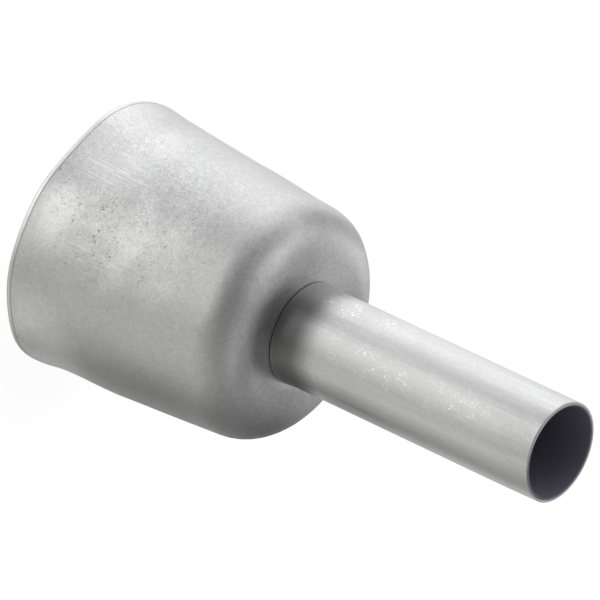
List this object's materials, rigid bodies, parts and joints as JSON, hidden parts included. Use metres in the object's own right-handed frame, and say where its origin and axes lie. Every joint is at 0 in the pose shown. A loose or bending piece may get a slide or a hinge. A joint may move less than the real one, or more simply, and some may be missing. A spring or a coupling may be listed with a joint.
{
  "type": "hot air nozzle",
  "caption": "Thin drawn steel cup with a flared mouth, a rounded shoulder and a closed end, and a straight thin-walled tube that leads hot air out of it.",
  "frame": {"origin": "centre of the cup's mouth, in the plane of its rim, which is what the nozzle stands on", "axes": "+Z along the nozzle's axis from the mouth to the tube's tip; +X and +Y are free, as the nozzle is round"},
  "size_m": [0.025, 0.025, 0.0505],
  "materials": {
    "cup_steel": "matte, fine-grained drawn stainless steel",
    "tube_steel": "satin drawn stainless steel"
  },
  "bodies": {
    "root": {"cup": "cup_steel", "tube": "tube_steel"}
  },
  "joints": []
}
